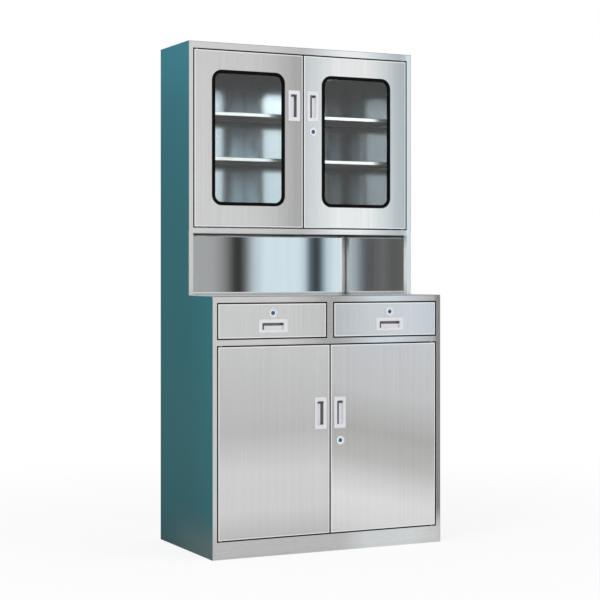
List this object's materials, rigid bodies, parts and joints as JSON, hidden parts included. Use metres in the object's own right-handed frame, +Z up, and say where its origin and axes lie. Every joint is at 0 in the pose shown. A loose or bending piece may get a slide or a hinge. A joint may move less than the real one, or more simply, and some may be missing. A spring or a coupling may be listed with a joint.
{
  "type": "glass door medical cabinet",
  "caption": "Floor-standing steel medicine cabinet: glazed doors over an open niche, set back on a deeper base with lockable drawers and cupboard doors.",
  "frame": {"origin": "middle of the overall footprint, on the floor", "axes": "+Z up, front towards -Y, +X to the right of someone facing the doors"},
  "size_m": [0.9, 0.4932, 1.8],
  "materials": {
    "brushed_steel": "vertically brushed stainless steel",
    "zinc_steel": "zinc-plated steel",
    "teal_side": "satin teal",
    "black_rubber": "black rubber",
    "clear_glass": "clear float glass",
    "silver_plastic": "satin silver plastic",
    "chrome_lock": "polished chrome",
    "blue_lock_core": "blued steel"
  },
  "bodies": {
    "carcass": {"left_side_panel": "teal_side", "right_side_panel": "teal_side", "back_panel": "brushed_steel", "top_panel": "brushed_steel", "upper_floor_panel": "brushed_steel", "worktop_panel": "brushed_steel", "drawer_deck": "brushed_steel", "base_floor_panel": "brushed_steel", "drawer_partition": "brushed_steel", "upper_face_frame": "brushed_steel", "base_face_frame": "brushed_steel", "upper_shelf_bottom": "brushed_steel", "upper_shelf_top": "brushed_steel", "base_shelf": "brushed_steel", "upper_left_shelf_support": "zinc_steel", "upper_right_shelf_support": "zinc_steel", "base_left_shelf_ledge": "zinc_steel", "base_right_shelf_ledge": "zinc_steel", "left_drawer_outer_runner": "zinc_steel", "left_drawer_inner_runner": "zinc_steel", "right_drawer_outer_runner": "zinc_steel", "right_drawer_inner_runner": "zinc_steel"},
    "upper_left_door": {"upper_left_door_skin": "brushed_steel", "upper_left_door_liner": "brushed_steel", "upper_left_door_gasket": "black_rubber", "upper_left_door_glass": "clear_glass", "upper_left_door_pull": "silver_plastic", "upper_left_door_top_pin": "zinc_steel", "upper_left_door_bottom_pin": "zinc_steel"},
    "upper_right_door": {"upper_right_door_skin": "brushed_steel", "upper_right_door_liner": "brushed_steel", "upper_right_door_gasket": "black_rubber", "upper_right_door_glass": "clear_glass", "upper_right_door_pull": "silver_plastic", "upper_right_door_top_pin": "zinc_steel", "upper_right_door_bottom_pin": "zinc_steel", "upper_right_door_lock_barrel": "chrome_lock"},
    "base_left_door": {"base_left_door_skin": "brushed_steel", "base_left_door_liner": "brushed_steel", "base_left_door_pull": "silver_plastic", "base_left_door_top_pin": "zinc_steel", "base_left_door_bottom_pin": "zinc_steel"},
    "base_right_door": {"base_right_door_skin": "brushed_steel", "base_right_door_liner": "brushed_steel", "base_right_door_pull": "silver_plastic", "base_right_door_top_pin": "zinc_steel", "base_right_door_bottom_pin": "zinc_steel", "base_right_door_lock_barrel": "chrome_lock"},
    "left_drawer": {"left_drawer_front": "brushed_steel", "left_drawer_tray": "brushed_steel", "left_drawer_pull": "silver_plastic", "left_drawer_lock_barrel": "chrome_lock"},
    "right_drawer": {"right_drawer_front": "brushed_steel", "right_drawer_tray": "brushed_steel", "right_drawer_pull": "silver_plastic", "right_drawer_lock_barrel": "chrome_lock"},
    "upper_right_door_lock": {"upper_right_door_lock_core": "blue_lock_core"},
    "base_right_door_lock": {"base_right_door_lock_core": "blue_lock_core"},
    "left_drawer_lock": {"left_drawer_lock_core": "blue_lock_core"},
    "right_drawer_lock": {"right_drawer_lock_core": "blue_lock_core"}
  },
  "joints": [
    {"name": "upper_left_door_hinge", "type": "hinge", "parent": "carcass", "child": "upper_left_door", "pos_m": [-0.416, -0.02035, 1.4575], "axis": [0, 0, -1], "range_deg": [0, 110]},
    {"name": "upper_right_door_hinge", "type": "hinge", "parent": "carcass", "child": "upper_right_door", "pos_m": [0.416, -0.02035, 1.4575], "axis": [0, 0, 1], "range_deg": [0, 110]},
    {"name": "base_left_door_hinge", "type": "hinge", "parent": "carcass", "child": "base_left_door", "pos_m": [-0.416, -0.23535, 0.395], "axis": [0, 0, -1], "range_deg": [0, 110]},
    {"name": "base_right_door_hinge", "type": "hinge", "parent": "carcass", "child": "base_right_door", "pos_m": [0.416, -0.23535, 0.395], "axis": [0, 0, 1], "range_deg": [0, 110]},
    {"name": "left_drawer_slide", "type": "slide", "parent": "carcass", "child": "left_drawer", "axis": [0, -1, 0], "range_m": [0, 0.33]},
    {"name": "right_drawer_slide", "type": "slide", "parent": "carcass", "child": "right_drawer", "axis": [0, -1, 0], "range_m": [0, 0.33]},
    {"name": "upper_right_door_lock_turn", "type": "hinge", "parent": "upper_right_door", "child": "upper_right_door_lock", "pos_m": [0.04, -0.02835, 1.495], "axis": [0, 1, 0], "range_deg": [0, 90]},
    {"name": "base_right_door_lock_turn", "type": "hinge", "parent": "base_right_door", "child": "base_right_door_lock", "pos_m": [0.04, -0.24335, 0.3885], "axis": [0, 1, 0], "range_deg": [0, 90]},
    {"name": "left_drawer_lock_turn", "type": "hinge", "parent": "left_drawer", "child": "left_drawer_lock", "pos_m": [-0.22225, -0.24335, 0.841], "axis": [0, 1, 0], "range_deg": [0, 90]},
    {"name": "right_drawer_lock_turn", "type": "hinge", "parent": "right_drawer", "child": "right_drawer_lock", "pos_m": [0.23925, -0.24335, 0.841], "axis": [0, 1, 0], "range_deg": [0, 90]}
  ]
}
